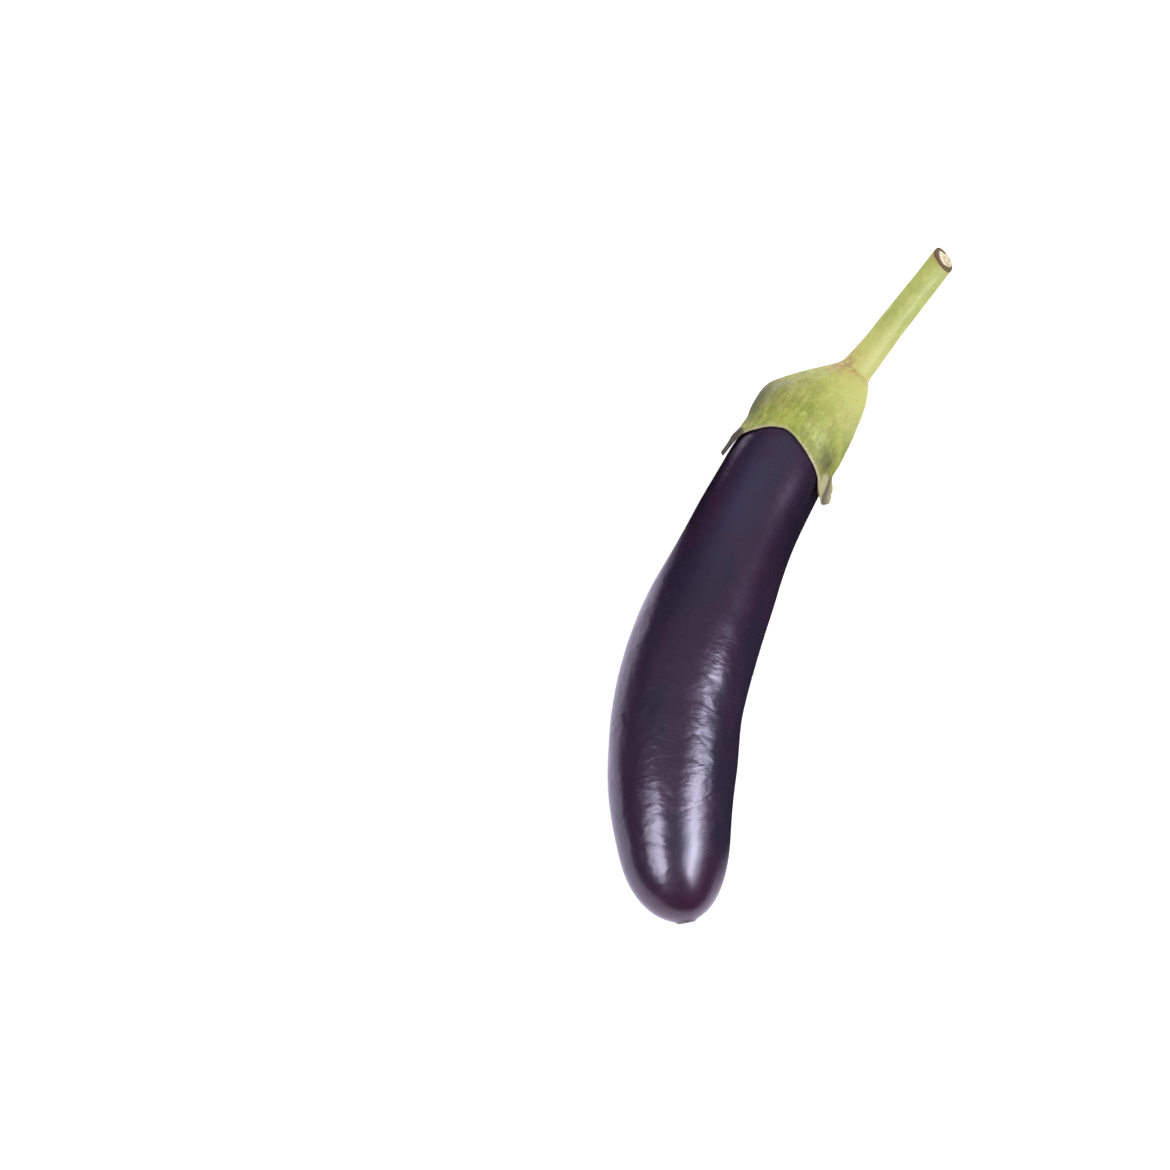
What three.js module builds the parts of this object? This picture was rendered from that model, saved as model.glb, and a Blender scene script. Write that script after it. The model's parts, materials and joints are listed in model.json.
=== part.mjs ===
// A long purple eggplant, as picked, lying on its side: a bowed fruit, the green calyx that caps its
// shoulder, and the cut stem. Millimetres, +Z up, +X from the blossom end to the stem.
import * as THREE from 'three';

// The centre line of the whole vegetable, from the blossom tip past the shoulder and the joint with the
// stem to the cut end: x along the table, y across it and z above it.
const CENTRE_LINE = [
  [0.3, -1.9, 20],
  [21.5, 10.7, 20.2],
  [46.5, 21.3, 21.8],
  [80.5, 29, 22.1],
  [118.5, 29, 20.3],
  [158, 25.6, 18.55],
  [184, 20.3, 18.4],
  [202, 12, 20.5],
  [221.5, 5.7, 25.5],
  [247, -2.6, 33.9],
];

// Distances along the centre line, from the blossom tip
const BELLY_START = 60;
const BELLY_END = 88;
const NECK_START = 160;
const JOINT = 211;
const SHOULDER_TOP = JOINT - 6;

const BLOSSOM_RADIUS = 17;
const BELLY_RADIUS = 22.5;
const NECK_RADIUS = 17.6;
const BLOSSOM_DOME = { length: 25, bluntness: 2.15 };
const SHOULDER_DOME = { length: 40, bluntness: 1.5 };
const FRUIT_SIDES = 48;
const DOME_RINGS = 9;
const BODY_RINGS = 17;

// Between two pieces that touch
const GAP = 0.3;

const SEPAL_THICKNESS = 1.1;
const MARGIN_THICKNESS = 0.8;
const CAP_ROUNDING = 1.6;
const CALYX_SIDES = 72;
const CALYX_RINGS = 18;
const ARCH_ROUNDNESS = 0.18;

// The cap's outline towards +Y and towards -Y: a cone that starts at a radius, with a slope that grows,
// and below it a wall that is widest at one place and falls away from it.
const PLUS_SIDE = { start: 5.9, slope: 0.2, growing: 0.0146, widest: 18.5, widestAt: 185, falling: 0.0114 };
const MINUS_SIDE = { start: 5.9, slope: 0.84, growing: -0.004, widest: 18.2, widestAt: 172, falling: 0.0058 };

// The calyx's edge, round the neck from the top towards +Y: each lobe tip and each arch between two lobes,
// as an angle in degrees, a distance along the centre line and how far the edge stands off the skin.
const CALYX_EDGE = [
  { angle: -74, reach: 160, lift: 3.2, tip: true },
  { angle: 12, reach: 174.9, lift: 0, tip: false },
  { angle: 77, reach: 158, lift: 3.2, tip: true },
  { angle: 108, reach: 172, lift: 0, tip: false },
  { angle: 140, reach: 162, lift: 0.5, tip: true },
  { angle: 166, reach: 170.5, lift: 0, tip: false },
  { angle: 190, reach: 162, lift: 0, tip: true },
  { angle: 213, reach: 171.5, lift: 0, tip: false },
  { angle: 240, reach: 162, lift: 0.5, tip: true },
  { angle: 261, reach: 172, lift: 0, tip: false },
  { angle: 286, reach: 160, lift: 3.2, tip: true },
];

const STEM_BASE_RADIUS = 5.8;
const STEM_MIDDLE_RADIUS = 4.55;
const STEM_END_RADIUS = 4.7;
const STEM_RINGS = 14;
const STEM_SIDES = 24;

// The stem is cut at a slant: how far the cut falls back from its middle for each millimetre up and
// towards +Y, and how far its middle is from the end of the centre line
const CUT_SLOPE_UP = 0.42;
const CUT_SLOPE_ASIDE = -0.34;
const CUT_BACK = 0.5;

const spine = new THREE.CatmullRomCurve3(CENTRE_LINE.map((point) => new THREE.Vector3(...point)));
const SPINE_LENGTH = spine.getLength();

// A point beside the centre line: how far along it, how far out, and at which angle from the top towards +Y.
// Nothing reaches below the table, so the belly's underside comes out flat.
function pointAround(distance, radius, angle, { forward = 0, aside = 0 } = {}) {
  const share = THREE.MathUtils.clamp(distance / SPINE_LENGTH, 0, 1);
  const along = spine.getTangentAt(share);
  const side = new THREE.Vector3(0, 0, 1).cross(along).normalize();
  const up = along.clone().cross(side);
  const point = spine.getPointAt(share);
  point.addScaledVector(up, radius * Math.cos(angle));
  point.addScaledVector(side, radius * Math.sin(angle) + aside);
  point.addScaledVector(along, forward);
  point.z = Math.max(point.z, 0);
  return point;
}

function ringAround(distance, radius, sides) {
  return Array.from({ length: sides }, (_, i) => pointAround(distance, radius, (2 * Math.PI * i) / sides));
}

// A closed skin over rings of points. The first and the last ring may be one point, a pole.
function loft(rings) {
  const starts = [];
  const positions = [];
  for (const ring of rings) {
    starts.push(positions.length / 3);
    ring.forEach((point) => positions.push(point.x, point.y, point.z));
  }
  const indices = [];
  for (let k = 0; k + 1 < rings.length; k += 1) {
    const sides = Math.max(rings[k].length, rings[k + 1].length);
    for (let i = 0; i < sides; i += 1) {
      const next = (i + 1) % sides;
      const a = starts[k] + (i % rings[k].length);
      const b = starts[k] + (next % rings[k].length);
      const c = starts[k + 1] + (next % rings[k + 1].length);
      const d = starts[k + 1] + (i % rings[k + 1].length);
      if (a !== b) indices.push(a, c, b);
      if (c !== d) indices.push(a, d, c);
    }
  }
  const geometry = new THREE.BufferGeometry();
  geometry.setAttribute('position', new THREE.Float32BufferAttribute(positions, 3));
  geometry.setIndex(indices);
  geometry.computeVertexNormals();
  return geometry;
}

function domeShare(distanceFromPole, dome) {
  const left = Math.max(0, 1 - distanceFromPole / dome.length);
  return Math.sqrt(1 - left ** dome.bluntness);
}

function fruitRadius(distance) {
  const { smoothstep, lerp } = THREE.MathUtils;
  const swelling = lerp(BLOSSOM_RADIUS, BELLY_RADIUS, smoothstep(distance, 0, BELLY_START));
  const narrowing = (BELLY_RADIUS - NECK_RADIUS) * smoothstep(distance, BELLY_END, NECK_START);
  const blossomEnd = domeShare(Math.max(distance, 0), BLOSSOM_DOME);
  const shoulder = domeShare(Math.max(SHOULDER_TOP - distance, 0), SHOULDER_DOME);
  return (swelling - narrowing) * blossomEnd * shoulder;
}

// Ring places that crowd towards a dome's pole
function domeDistances(length) {
  return Array.from({ length: DOME_RINGS }, (_, i) => {
    const turn = (Math.PI / 2) * ((i + 1) / DOME_RINGS);
    return length * (1 - Math.cos(turn));
  });
}

function makeFruit() {
  const blossom = domeDistances(BLOSSOM_DOME.length);
  const shoulder = domeDistances(SHOULDER_DOME.length).map((back) => SHOULDER_TOP - back).reverse();
  const bodyLength = shoulder[0] - BLOSSOM_DOME.length;
  const body = Array.from({ length: BODY_RINGS }, (_, i) => {
    return BLOSSOM_DOME.length + (bodyLength * (i + 1)) / (BODY_RINGS + 1);
  });
  const rings = [...blossom, ...body, ...shoulder].map((distance) => {
    return ringAround(distance, fruitRadius(distance), FRUIT_SIDES);
  });
  return loft([[pointAround(0, 0, 0)], ...rings, [pointAround(SHOULDER_TOP, 0, 0)]]);
}

function smoothMin(a, b, rounding) {
  const near = Math.max(0, rounding - Math.abs(a - b)) / rounding;
  return Math.min(a, b) - (near * near * rounding) / 4;
}

// Where the calyx ends at an angle round the neck, and how far it stands off the skin there
function calyxEdge(angle) {
  const first = CALYX_EDGE[0].angle;
  const degrees = THREE.MathUtils.euclideanModulo(THREE.MathUtils.radToDeg(angle) - first, 360) + first;
  const after = CALYX_EDGE.findIndex((mark, i) => i > 0 && degrees <= mark.angle);
  const [low, high] = [CALYX_EDGE[after - 1], CALYX_EDGE[after]];
  const [arch, tip] = low.tip ? [high, low] : [low, high];
  const share = (degrees - arch.angle) / (tip.angle - arch.angle);
  const rounded = Math.hypot(share, ARCH_ROUNDNESS) - ARCH_ROUNDNESS;
  const full = Math.hypot(1, ARCH_ROUNDNESS) - ARCH_ROUNDNESS;
  return {
    reach: arch.reach + ((tip.reach - arch.reach) * rounded) / full,
    lift: tip.lift * share ** 4,
  };
}

function capSide(distance, side) {
  const down = JOINT - distance;
  const cone = side.start + side.slope * down + side.growing * down ** 2;
  const wall = side.widest - side.falling * (distance - side.widestAt) ** 2;
  const overFruit = fruitRadius(distance) + GAP + SEPAL_THICKNESS;
  return smoothMin(cone, Math.max(wall, overFruit), CAP_ROUNDING);
}

// The outside of the cap, at a distance and angle. It is fuller on one side than on the other.
function capPoint(distance, angle, lift) {
  const plus = capSide(distance, PLUS_SIDE);
  const minus = capSide(distance, MINUS_SIDE);
  return pointAround(distance, (plus + minus) / 2 + lift, angle, { aside: (plus - minus) / 2 });
}

// The sepals grown together: a cone at the top, then a thin skirt on the neck that ends in lobes
function makeCalyx() {
  const angles = Array.from({ length: CALYX_SIDES }, (_, i) => (2 * Math.PI * i) / CALYX_SIDES);
  const edges = angles.map(calyxEdge);
  const shares = Array.from({ length: CALYX_RINGS }, (_, k) => (k + 1) / CALYX_RINGS);
  const inside = shares.map((share) => angles.map((angle, i) => {
    const crowded = 1 - Math.cos((share * Math.PI) / 2);
    const distance = THREE.MathUtils.lerp(SHOULDER_TOP, edges[i].reach, crowded);
    const lift = edges[i].lift * crowded ** 6;
    return pointAround(distance, fruitRadius(distance - GAP) + GAP + lift, angle);
  }));
  const outside = [0, ...shares].map((share) => angles.map((angle, i) => {
    const distance = THREE.MathUtils.lerp(JOINT, edges[i].reach, share);
    const thinning = (SEPAL_THICKNESS - MARGIN_THICKNESS) * share ** 6;
    const lift = edges[i].lift * share ** 6;
    return capPoint(distance, angle, lift - thinning);
  }));
  const innerPole = pointAround(SHOULDER_TOP + 2 * GAP, 0, 0);
  return loft([[innerPole], ...inside, ...outside.reverse(), [pointAround(JOINT, 0, 0)]]);
}

function stemRadius(share) {
  const curve = new THREE.QuadraticBezierCurve(
    new THREE.Vector2(0, STEM_BASE_RADIUS),
    new THREE.Vector2(0.3, STEM_MIDDLE_RADIUS),
    new THREE.Vector2(1, STEM_END_RADIUS),
  );
  return curve.getPoint(share).y;
}

function makeStem() {
  const start = JOINT + GAP;
  const end = SPINE_LENGTH - CUT_BACK;
  const rings = Array.from({ length: STEM_RINGS }, (_, k) => {
    const share = k / (STEM_RINGS - 1);
    const radius = stemRadius(share);
    return Array.from({ length: STEM_SIDES }, (_, i) => {
      const angle = (2 * Math.PI * i) / STEM_SIDES;
      const slope = CUT_SLOPE_UP * Math.cos(angle) + CUT_SLOPE_ASIDE * Math.sin(angle);
      const distance = THREE.MathUtils.lerp(start, end, share);
      return pointAround(distance, radius, angle, { forward: -slope * radius * share ** 8 });
    });
  });
  return loft([[pointAround(start, 0, 0)], ...rings, [pointAround(end, 0, 0)]]);
}

function piece(name, geometry, color, roughness) {
  const material = new THREE.MeshStandardMaterial({ color, roughness, metalness: 0 });
  const mesh = new THREE.Mesh(geometry, material);
  mesh.name = name;
  return mesh;
}

const eggplant = new THREE.Group();
eggplant.add(piece('fruit', makeFruit(), 0x2e1c33, 0.25));
eggplant.add(piece('calyx', makeCalyx(), 0xacbb5e, 0.6));
eggplant.add(piece('stem', makeStem(), 0xb4bf63, 0.65));

// The origin is on the table, under the middle of the whole vegetable.
const middle = new THREE.Box3().setFromObject(eggplant).getCenter(new THREE.Vector3());
eggplant.position.set(-middle.x, -middle.y, 0);

export default eggplant;
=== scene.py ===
# %% [markdown]
# # A long purple eggplant
#
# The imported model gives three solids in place: a bowed fruit, the calyx that caps its shoulder and the
# cut stem. Each one is modelled again here as a finer mesh in the same place and at the same size, and
# gets a finish made of nodes. Everything is in metres, with +X from the blossom end to the stem.

# %% Load the frame
import json
import math

import bmesh
import bpy
import numpy as np
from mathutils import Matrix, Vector
from mathutils.kdtree import KDTree

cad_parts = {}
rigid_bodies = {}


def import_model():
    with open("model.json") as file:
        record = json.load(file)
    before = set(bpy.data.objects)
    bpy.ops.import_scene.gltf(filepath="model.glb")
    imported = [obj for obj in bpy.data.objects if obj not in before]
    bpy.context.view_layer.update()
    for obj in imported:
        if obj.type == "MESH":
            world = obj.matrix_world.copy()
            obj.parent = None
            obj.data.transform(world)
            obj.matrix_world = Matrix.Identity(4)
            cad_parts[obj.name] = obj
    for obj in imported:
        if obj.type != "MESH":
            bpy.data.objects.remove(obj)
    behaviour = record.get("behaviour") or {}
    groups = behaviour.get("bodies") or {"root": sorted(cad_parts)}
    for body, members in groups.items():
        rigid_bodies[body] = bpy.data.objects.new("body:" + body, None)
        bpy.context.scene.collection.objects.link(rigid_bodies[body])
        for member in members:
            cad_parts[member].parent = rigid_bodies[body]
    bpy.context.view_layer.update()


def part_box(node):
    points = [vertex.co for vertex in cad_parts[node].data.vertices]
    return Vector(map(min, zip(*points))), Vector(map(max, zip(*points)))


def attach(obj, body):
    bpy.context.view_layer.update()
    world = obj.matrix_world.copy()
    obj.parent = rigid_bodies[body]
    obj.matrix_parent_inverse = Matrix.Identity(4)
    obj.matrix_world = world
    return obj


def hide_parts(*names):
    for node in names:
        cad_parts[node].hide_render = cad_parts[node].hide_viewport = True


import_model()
MM = 0.001

# %% [markdown]
# ## Camera, floor and light
#
# The picture looks almost straight down on a glowing white table, so the camera stands 80 degrees above
# it, and is turned so that the stem points up and to the right. The directions of the lamps are given as
# the picture shows them, right, away and up, because that is how highlights are read off a picture. On a
# dark gloss the light is all in the reflections. A softbox with a wider glow behind it draws each of the
# two streaks with its soft edges, the table draws the pale rim, and what is dark round the table draws the
# black between them. The window lights, and is kept out of the gloss.

# %% The camera
CAMERA_ELEVATION = math.radians(80)
CAMERA_TURN = math.radians(-68.5)
CAMERA_DISTANCE = 0.9
CAMERA_LENS = 80
PICTURE_CENTRE = Vector((-0.0290, 0.0510, 0.020))


def picture_direction(right, away, up):
    """A direction in the part's frame, from one told as the picture shows it."""
    x = right * math.cos(CAMERA_TURN) - away * math.sin(CAMERA_TURN)
    y = right * math.sin(CAMERA_TURN) + away * math.cos(CAMERA_TURN)
    return Vector((x, y, up)).normalized()


def look_at(obj, place, target):
    """Stands a camera or a lamp at a place, turned to its target."""
    obj.location = place
    obj.rotation_euler = (target - place).to_track_quat("-Z", "Y").to_euler()


towards_camera = picture_direction(0, -math.cos(CAMERA_ELEVATION), math.sin(CAMERA_ELEVATION))
bpy.ops.object.select_all(action="DESELECT")
bpy.ops.object.camera_add()
camera = bpy.context.object
camera.data.lens = CAMERA_LENS
look_at(camera, PICTURE_CENTRE + towards_camera * CAMERA_DISTANCE, PICTURE_CENTRE)
bpy.context.scene.camera = camera
print("camera at", [round(v, 3) for v in camera.location])

# %% The lamps
BELLY_MIDDLE = Vector((-0.057, 0.0037, 0.03))
COOL_WHITE, DAYLIGHT = (0.80, 0.80, 1.0), (1.0, 0.99, 0.96)


def softbox(name, direction, distance, size, power, daylight=False):
    """A lamp that faces the belly from a direction told as the picture shows it. Its first size is level
    and its second is not. A daylight lamp only lights, and the others only show in the gloss: the pale
    room does the rest."""
    bpy.ops.object.light_add(type="AREA")
    lamp = bpy.context.object
    lamp.name = name
    lamp.data.shape = "RECTANGLE"
    lamp.data.size, lamp.data.size_y = size
    lamp.data.energy = power
    lamp.data.color = DAYLIGHT if daylight else COOL_WHITE
    lamp.visible_diffuse = daylight
    lamp.visible_glossy = not daylight
    look_at(lamp, BELLY_MIDDLE + picture_direction(*direction) * distance, BELLY_MIDDLE)
    print(name, "at", [round(v, 2) for v in lamp.location])


softbox("strip_softbox", (0.66, -0.38, 0.69), 0.40, (0.33, 0.09), 1.7)
softbox("strip_glow", (0.64, -0.42, 0.70), 0.45, (0.34, 0.26), 2.1)
softbox("front_softbox", (-0.50, -0.60, 0.72), 0.40, (0.18, 0.16), 0.95)
softbox("front_glow", (-0.54, -0.60, 0.72), 0.45, (0.30, 0.26), 1.6)
softbox("window", (0.8, 0.5, 0.9), 0.9, (0.4, 0.4), 2.2, daylight=True)

# %% The room
ROOM_TINT = (0.97, 0.975, 1.0)
ROOM_LIGHT, ROOM_SHINE, DARK_SHINE = 1.15, 0.32, 0.04
# How high a direction points, from -1 to 1, where the room starts to shine and where it shines in full
SHINE_LOW, SHINE_HIGH = 0.25, 0.95


def make_room():
    """A pale room all round. In reflections only what is overhead is bright."""
    world = bpy.data.worlds.new("pale_room")
    bpy.context.scene.world = world
    world.use_nodes = True
    nodes, links = world.node_tree.nodes, world.node_tree.links

    def graded(socket, low, high, start, end):
        node = nodes.new("ShaderNodeMapRange")
        node.interpolation_type = "SMOOTHSTEP"
        for name, value in (("From Min", low), ("From Max", high), ("To Min", start), ("To Max", end)):
            if isinstance(value, bpy.types.NodeSocket):
                links.new(value, node.inputs[name])
            else:
                node.inputs[name].default_value = value
        links.new(socket, node.inputs["Value"])
        return node.outputs[0]

    height = nodes.new("ShaderNodeSeparateXYZ")
    links.new(nodes.new("ShaderNodeTexCoord").outputs["Generated"], height.inputs[0])
    shine = graded(height.outputs["Z"], SHINE_LOW, SHINE_HIGH, DARK_SHINE, ROOM_SHINE)
    glossy = nodes.new("ShaderNodeLightPath").outputs["Is Glossy Ray"]
    links.new(graded(glossy, 0, 1, ROOM_LIGHT, shine), nodes["Background"].inputs["Strength"])
    nodes["Background"].inputs["Color"].default_value = (*ROOM_TINT, 1)


make_room()
bpy.context.scene.view_settings.view_transform = "Standard"
print("the room lights at", ROOM_LIGHT, "and shines at", ROOM_SHINE, "overhead")

# %% [markdown]
# ## Node maths
#
# A finish is worked out with many small sums. Written as nodes they fill pages, so a small class wraps a
# socket and turns Python's own signs into Math nodes. A second class holds one material, and adds its
# nodes: a noise, a soft step between two values, a mix of two colours, a bump.


# %% A socket that can be added and multiplied
class Wire:
    """One output in a material's nodes. Sums on it add Math nodes."""

    def __init__(self, finish, socket):
        self.finish = finish
        self.socket = socket

    def maths(self, operation, *values):
        inputs = dict(enumerate(values))
        return self.finish.node("ShaderNodeMath", {"operation": operation}, inputs)

    def __add__(self, other):
        return self.maths("ADD", self, other)

    def __sub__(self, other):
        return self.maths("SUBTRACT", self, other)

    def __rsub__(self, other):
        return self.maths("SUBTRACT", other, self)

    def __mul__(self, other):
        return self.maths("MULTIPLY", self, other)

    def clamped(self):
        return self.maths("MINIMUM", self.maths("MAXIMUM", self, 0.0), 1.0)

    __radd__ = __add__
    __rmul__ = __mul__


# %% A material and its nodes
class Finish:
    """A material that is built node by node."""

    def __init__(self, name):
        self.material = bpy.data.materials.new(name)
        self.material.use_nodes = True
        self.tree = self.material.node_tree
        self.shader = self.tree.nodes["Principled BSDF"]

    def node(self, kind, settings=None, inputs=None, output=0):
        """Any node: its settings first, then the values or links of its sockets. Sockets go by name, or by
        number where a node has several of one name."""
        node = self.tree.nodes.new(kind)
        for key, value in (settings or {}).items():
            setattr(node, key, value)
        for key, value in (inputs or {}).items():
            self.plug(node.inputs[key], value)
        return Wire(self, node.outputs[output])

    def plug(self, socket, value):
        """Links a wire to a socket, or sets the socket's own value."""
        if isinstance(value, Wire):
            self.tree.links.new(value.socket, socket)
        elif socket.type == "RGBA" and len(value) == 3:
            socket.default_value = (*value, 1)
        else:
            socket.default_value = value

    def set(self, **inputs):
        """The shader's own sockets, such as base_color for Base Color."""
        for name, value in inputs.items():
            self.plug(self.shader.inputs[name.replace("_", " ").title()], value)

    def noise(self, place, scale, detail=2.0, roughness=0.5, distortion=0.0):
        inputs = {"Vector": place, "Scale": scale, "Detail": detail, "Roughness": roughness}
        inputs["Distortion"] = distortion
        return self.node("ShaderNodeTexNoise", {"noise_dimensions": "3D"}, inputs)

    def between(self, wire, low, high):
        """0 at low and 1 at high, with a soft start and end."""
        settings = {"interpolation_type": "SMOOTHSTEP"}
        inputs = {"Value": wire, "From Min": low, "From Max": high}
        return self.node("ShaderNodeMapRange", settings, inputs)

    def mix(self, share, first, second):
        """The first colour, with a share of the second over it."""
        settings = {"data_type": "RGBA"}
        return self.node("ShaderNodeMix", settings, {0: share, 6: first, 7: second}, output=2)

    def stretch(self, place, scale):
        """A place with each coordinate scaled: a small scale draws a pattern out that way."""
        settings = {"operation": "MULTIPLY"}
        return self.node("ShaderNodeVectorMath", settings, {0: place, 1: scale})

    def straight_place(self):
        """Where a point was before the piece was bent, in mm."""
        return self.node("ShaderNodeAttribute", {"attribute_name": "straight"}, output="Vector")

    def stored(self, name):
        """A number that the piece keeps at its vertices."""
        return self.node("ShaderNodeAttribute", {"attribute_name": name}, output="Fac")

    def part(self, place, axis):
        """One coordinate of a place: 0, 1 or 2."""
        return self.node("ShaderNodeSeparateXYZ", None, {0: place}, output=axis)

    def away_from(self, wire, middle):
        """How far a value is from a middle one."""
        return wire.maths("ABSOLUTE", wire - middle)

    def near(self, place, mark, size):
        """1 at a mark, fading to 0 at its size."""
        settings = {"operation": "DISTANCE"}
        away = self.node("ShaderNodeVectorMath", settings, {0: place, 1: mark}, output="Value")
        return self.between(away, size, 0.0)

    def bump(self, height, distance, normal=None):
        inputs = {"Height": height, "Distance": distance, "Strength": 1.0}
        if normal:
            inputs["Normal"] = normal
        return self.node("ShaderNodeBump", None, inputs)


# %% [markdown]
# ### The glowing table
#
# The table glows, so it hardly shows a shadow, and it draws a pale rim along the lower sides of the gloss.
# A photographer lays black cards beside a dark gloss where that rim is not wanted. Here the table itself
# turns black in reflections, softly, where such cards would lie: right of the fruit, left of its neck, and
# all along both sides further out.

# %% The table and its dark places
FLOOR_SIZE = 6
TABLE_WHITE, CARD_BLACK = (0.9, 0.9, 0.9), (0.0, 0.0, 0.0)
GLOW_SEEN, GLOW_MIRRORED = 0.45, 0.68
LAVENDER = (0.76, 0.60, 1.12)
# Each dark place: where it begins and ends along X, where it begins along Y, and to which side it goes
DARK_PLACES = ((-0.120, 0.078, -0.009, -1), (-0.021, 0.078, 0.016, 1))
SOFT_END, SOFT_SIDE = 0.035, 0.006
# How far from the X axis both sides of the table start to turn dark, and are dark in full
OUTER_DARK, OUTER_BLACK = 0.09, 0.14


def dark_place(finish, place, start, end, side, way):
    """1 where a black card would lie, with soft edges."""
    x, y = finish.part(place, 0), finish.part(place, 1)
    along = finish.between(x, start, start + SOFT_END) * finish.between(x, end, end - SOFT_END)
    return along * finish.between(y, side, side + SOFT_SIDE * way)


def make_table_top():
    table = Finish("white_table")
    seen = table.node("ShaderNodeLightPath", output="Is Camera Ray")
    mirrored = table.node("ShaderNodeLightPath", output="Is Glossy Ray")
    place = table.node("ShaderNodeTexCoord", output="Object")
    dark = table.between(table.away_from(table.part(place, 1), 0.0), OUTER_DARK, OUTER_BLACK)
    for corners in DARK_PLACES:
        dark = dark + dark_place(table, place, *corners)
    dark = dark.clamped() * mirrored
    table.set(base_color=table.mix(dark, TABLE_WHITE, CARD_BLACK), roughness=0.9)
    table.set(emission_color=table.mix(mirrored, (1, 1, 1), LAVENDER))
    glow = seen * GLOW_SEEN + mirrored * (1 - dark) * GLOW_MIRRORED
    table.set(emission_strength=glow)
    return table.material


bpy.ops.object.select_all(action="DESELECT")
bpy.ops.mesh.primitive_plane_add(size=FLOOR_SIZE)
floor = bpy.context.object
floor.name = "floor"
floor.data.materials.append(make_table_top())
print("the table is", FLOOR_SIZE, "m wide")

# %% [markdown]
# ## The centre line
#
# An eggplant grows bowed, and everything on it follows the bow: the round sections, the sepals and the
# stem. It is far easier to model it straight and bend it at the end, so one curve is the centre line of
# the whole vegetable, and each piece is modelled along +X and then bent by a Curve modifier. The places
# are the ones that the solids were made with.

# %% The curve that bends every piece
CENTRE_LINE = (
    (0.3, -1.9, 20),
    (21.5, 10.7, 20.2),
    (46.5, 21.3, 21.8),
    (80.5, 29, 22.1),
    (118.5, 29, 20.3),
    (158, 25.6, 18.55),
    (184, 20.3, 18.4),
    (202, 12, 20.5),
    (221.5, 5.7, 25.5),
    (247, -2.6, 33.9),
)
# The blossom end of the curve, seen from the lowest corner of the fruit's box
TIP_IN_BOX = Vector((1.52 * MM, 8.72 * MM, 0))
CURVE_STEPS = 48
fruit_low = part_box("fruit")[0]
tip = Vector((fruit_low.x, fruit_low.y, 0)) + TIP_IN_BOX


def make_spine():
    """The curve, and its length in mm."""
    line = bpy.data.curves.new("spine", "CURVE")
    line.dimensions = "3D"
    line.twist_mode = "Z_UP"
    line.resolution_u = CURVE_STEPS
    spline = line.splines.new("BEZIER")
    spline.bezier_points.add(len(CENTRE_LINE) - 1)
    for point, place in zip(spline.bezier_points, CENTRE_LINE):
        point.co = tip + Vector(place) * MM
        point.handle_left_type = point.handle_right_type = "AUTO"
    obj = bpy.data.objects.new("spine", line)
    bpy.context.scene.collection.objects.link(obj)
    bpy.context.view_layer.update()
    return obj, spline.calc_length() / MM


spine, spine_length = make_spine()
print("centre line", round(spine_length, 1), "mm")

# %% [markdown]
# ## Modelling helpers
#
# A vegetable is a stack of rings: a circle is added, and then extruded and scaled ring by ring, as one
# would by hand. What is not round is shaped afterwards by Displace modifiers, each held by a vertex group
# that a small function weighs from a vertex's place along the piece, its angle from the top and its radius.


# %% Rings
def leave_edit_mode():
    """Back to object mode, with nothing selected."""
    if bpy.context.object and bpy.context.object.mode != "OBJECT":
        bpy.ops.object.mode_set(mode="OBJECT")
    bpy.ops.object.select_all(action="DESELECT")


def start_ring(name, sides, x, radius, y=0.0):
    """A circle across +X, in edit mode with all of it selected. Its first point is at the top."""
    leave_edit_mode()
    bpy.ops.mesh.primitive_circle_add(vertices=sides, radius=radius * MM, location=(x * MM, y * MM, 0))
    obj = bpy.context.object
    obj.name = obj.data.name = name
    obj.rotation_euler = (0, math.pi / 2, 0)
    bpy.ops.object.transform_apply(location=True, rotation=True, scale=True)
    bpy.ops.object.mode_set(mode="EDIT")
    bpy.ops.mesh.select_all(action="SELECT")
    return obj


def extrude_rings(stations):
    """Extrudes the selected ring through its stations, the first of which it stands at. A station is a
    place along X and a radius, and may say how far the ring stands off the axis along Y."""
    stations = [(*station, 0.0)[:3] for station in stations]
    for (x0, r0, y0), (x1, r1, y1) in zip(stations, stations[1:]):
        move = ((x1 - x0) * MM, (y1 - y0) * MM, 0)
        bpy.ops.mesh.extrude_region_move(TRANSFORM_OT_translate={"value": move})
        scale = r1 / r0
        bpy.ops.transform.resize(value=(1, scale, scale), center_override=(x1 * MM, y1 * MM, 0))


def pick(obj, test, mode="VERT"):
    """In edit mode, selects just the vertices (or edges or faces) that pass a test."""
    bpy.ops.mesh.select_mode(type=mode)
    bpy.ops.mesh.select_all(action="DESELECT")
    mesh = bmesh.from_edit_mesh(obj.data)
    parts = {"VERT": mesh.verts, "EDGE": mesh.edges, "FACE": mesh.faces}[mode]
    chosen = [part for part in parts if test(part)]
    for part in chosen:
        part.select_set(True)
    mesh.select_flush_mode()
    bmesh.update_edit_mesh(obj.data)
    return len(chosen)


# %% Modifiers, applied one by one
def only(obj):
    """Selects one object and nothing else."""
    leave_edit_mode()
    obj.select_set(True)
    bpy.context.view_layer.objects.active = obj


def modify(obj, kind, **settings):
    """Adds a modifier and applies it."""
    only(obj)
    modifier = obj.modifiers.new(kind.title(), kind)
    for key, value in settings.items():
        setattr(modifier, key, value)
    bpy.ops.object.modifier_apply(modifier=modifier.name)


def subdivide(obj, levels):
    modify(obj, "SUBSURF", levels=levels, render_levels=levels)


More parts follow.
